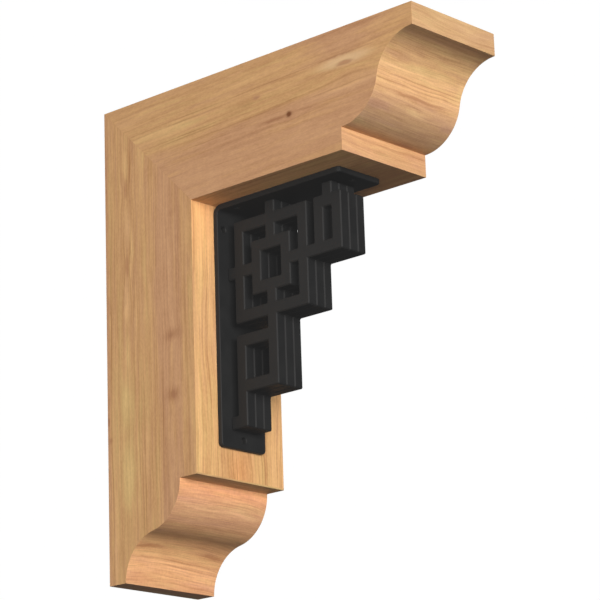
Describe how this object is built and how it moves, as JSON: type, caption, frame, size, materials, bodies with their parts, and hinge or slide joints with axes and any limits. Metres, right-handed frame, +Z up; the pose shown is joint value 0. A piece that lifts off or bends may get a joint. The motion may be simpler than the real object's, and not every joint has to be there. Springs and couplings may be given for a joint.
{
  "type": "wooden corbel bracket",
  "caption": "L-shaped timber corbel bracket with mitred members, carved cyma ends and a black iron fretwork insert on a bent mounting plate.",
  "frame": {"origin": "middle of the flat wall face at the back of the post", "axes": "+Y into the wall, so the arm reaches towards -Y; +Z up; +X across the width, to the right seen from the front"},
  "size_m": [0.1396, 0.4735, 0.56],
  "materials": {
    "arm_timber": "smooth unpainted cedar, grain along the arm",
    "post_timber": "smooth unpainted cedar, upright grain",
    "plate_iron": "satin black powder coat",
    "fretwork_iron": "satin black powder coat"
  },
  "bodies": {
    "root": {"arm": "arm_timber", "post": "post_timber", "mounting_plate": "plate_iron", "lattice_left": "fretwork_iron", "lattice_middle": "fretwork_iron", "lattice_right": "fretwork_iron"}
  },
  "joints": []
}
